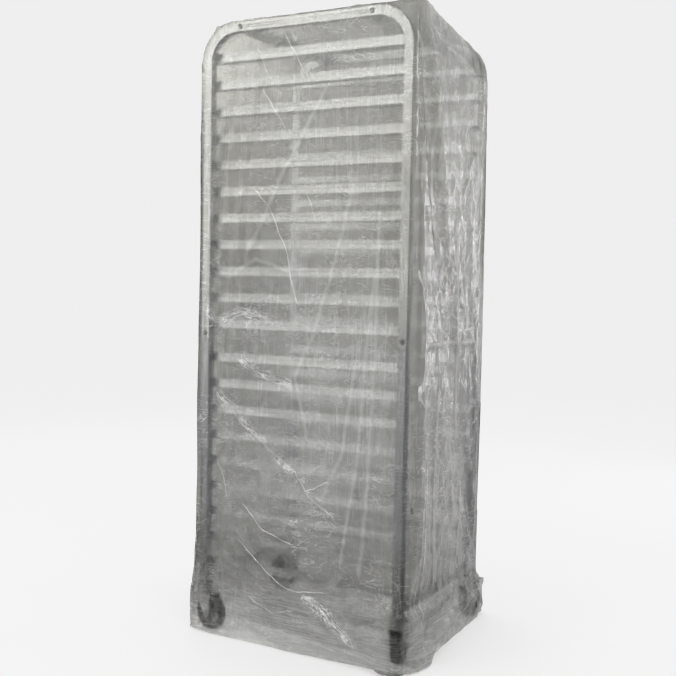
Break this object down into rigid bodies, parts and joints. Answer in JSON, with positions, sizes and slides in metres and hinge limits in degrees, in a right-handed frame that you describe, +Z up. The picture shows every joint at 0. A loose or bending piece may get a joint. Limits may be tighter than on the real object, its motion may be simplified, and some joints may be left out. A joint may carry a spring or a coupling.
{
  "type": "sheet pan rack",
  "caption": "Tall mobile rack of square tube side frames with angle runners for sheet pans, end loading, on swivel casters, under a clear draped film cover.",
  "frame": {"origin": "on the floor, under the middle of the rack", "axes": "+Z up, -Y towards the front where pans slide in, +X to the right seen from the front"},
  "size_m": [0.6644, 0.8104, 1.763],
  "materials": {
    "frame_tube": "satin",
    "leg_tube": "satin",
    "runner_sheet": "satin",
    "inner_steel": "satin",
    "bolt_steel": "satin",
    "caster_zinc": "satin",
    "hub_plastic": "satin",
    "tyre_rubber": "matte",
    "pedal_paint": "satin",
    "cover_film": "gloss"
  },
  "bodies": {
    "rack": {"left_upper_frame": "frame_tube", "right_upper_frame": "frame_tube", "front_left_post": "frame_tube", "front_right_post": "frame_tube", "rear_left_post": "frame_tube", "rear_right_post": "frame_tube", "front_left_caster_leg": "leg_tube", "front_right_caster_leg": "leg_tube", "rear_left_caster_leg": "leg_tube", "rear_right_caster_leg": "leg_tube", "post_sleeves": "inner_steel", "top_front_crossbar": "frame_tube", "top_rear_crossbar": "frame_tube", "bottom_front_crossbar": "frame_tube", "bottom_rear_crossbar": "frame_tube", "sleeve_bolts": "bolt_steel", "crossbar_bolts": "bolt_steel", "swivel_races": "caster_zinc", "kingpins": "inner_steel", "swivel_balls": "inner_steel", "tier_01": "runner_sheet", "tier_02": "runner_sheet", "tier_03": "runner_sheet", "tier_04": "runner_sheet", "tier_05": "runner_sheet", "tier_06": "runner_sheet", "tier_07": "runner_sheet", "tier_08": "runner_sheet", "tier_09": "runner_sheet", "tier_10": "runner_sheet", "tier_11": "runner_sheet", "tier_12": "runner_sheet", "tier_13": "runner_sheet", "tier_14": "runner_sheet", "tier_15": "runner_sheet", "tier_16": "runner_sheet", "tier_17": "runner_sheet", "tier_18": "runner_sheet", "tier_19": "runner_sheet", "tier_20": "runner_sheet"},
    "cover": {"cover": "cover_film"},
    "front_left_swivel": {"front_left_fork": "caster_zinc", "front_left_axle": "bolt_steel"},
    "front_left_wheel": {"front_left_hub": "hub_plastic", "front_left_tyre": "tyre_rubber"},
    "front_left_brake": {"front_left_brake_pedal": "pedal_paint"},
    "front_right_swivel": {"front_right_fork": "caster_zinc", "front_right_axle": "bolt_steel"},
    "front_right_wheel": {"front_right_hub": "hub_plastic", "front_right_tyre": "tyre_rubber"},
    "front_right_brake": {"front_right_brake_pedal": "pedal_paint"},
    "rear_left_swivel": {"rear_left_fork": "caster_zinc", "rear_left_axle": "bolt_steel"},
    "rear_left_wheel": {"rear_left_hub": "hub_plastic", "rear_left_tyre": "tyre_rubber"},
    "rear_right_swivel": {"rear_right_fork": "caster_zinc", "rear_right_axle": "bolt_steel"},
    "rear_right_wheel": {"rear_right_hub": "hub_plastic", "rear_right_tyre": "tyre_rubber"}
  },
  "joints": [
    {"name": "cover_lift", "type": "slide", "parent": "rack", "child": "cover", "axis": [0, 0, 1], "range_m": [0, 1.8]},
    {"name": "front_left_swivel_turn", "type": "hinge", "parent": "rack", "child": "front_left_swivel", "pos_m": [-0.2445, -0.3175, 0.124], "axis": [0, 0, 1], "continuous": true},
    {"name": "front_left_wheel_spin", "type": "hinge", "parent": "front_left_swivel", "child": "front_left_wheel", "pos_m": [-0.21552, -0.30974, 0.0508], "axis": [-0.2588, 0.9659, 0], "continuous": true},
    {"name": "front_left_brake_press", "type": "hinge", "parent": "front_left_swivel", "child": "front_left_brake", "pos_m": [-0.19234, -0.30352, 0.104], "axis": [-0.2588, 0.9659, 0], "range_deg": [0, 22]},
    {"name": "front_right_swivel_turn", "type": "hinge", "parent": "rack", "child": "front_right_swivel", "pos_m": [0.2445, -0.3175, 0.124], "axis": [0, 0, 1], "continuous": true},
    {"name": "front_right_wheel_spin", "type": "hinge", "parent": "front_right_swivel", "child": "front_right_wheel", "pos_m": [0.27448, -0.31855, 0.0508], "axis": [0.0349, 0.9994, 0], "continuous": true},
    {"name": "front_right_brake_press", "type": "hinge", "parent": "front_right_swivel", "child": "front_right_brake", "pos_m": [0.29847, -0.31938, 0.104], "axis": [0.0349, 0.9994, 0], "range_deg": [0, 22]},
    {"name": "rear_left_swivel_turn", "type": "hinge", "parent": "rack", "child": "rear_left_swivel", "pos_m": [-0.2445, 0.3175, 0.124], "axis": [0, 0, 1], "continuous": true},
    {"name": "rear_left_wheel_spin", "type": "hinge", "parent": "rear_left_swivel", "child": "rear_left_wheel", "pos_m": [-0.25226, 0.28852, 0.0508], "axis": [0.9659, -0.2588, 0], "continuous": true},
    {"name": "rear_right_swivel_turn", "type": "hinge", "parent": "rack", "child": "rear_right_swivel", "pos_m": [0.2445, 0.3175, 0.124], "axis": [0, 0, 1], "continuous": true},
    {"name": "rear_right_wheel_spin", "type": "hinge", "parent": "rear_right_swivel", "child": "rear_right_wheel", "pos_m": [0.21631, 0.32776, 0.0508], "axis": [-0.342, -0.9397, 0], "continuous": true}
  ]
}
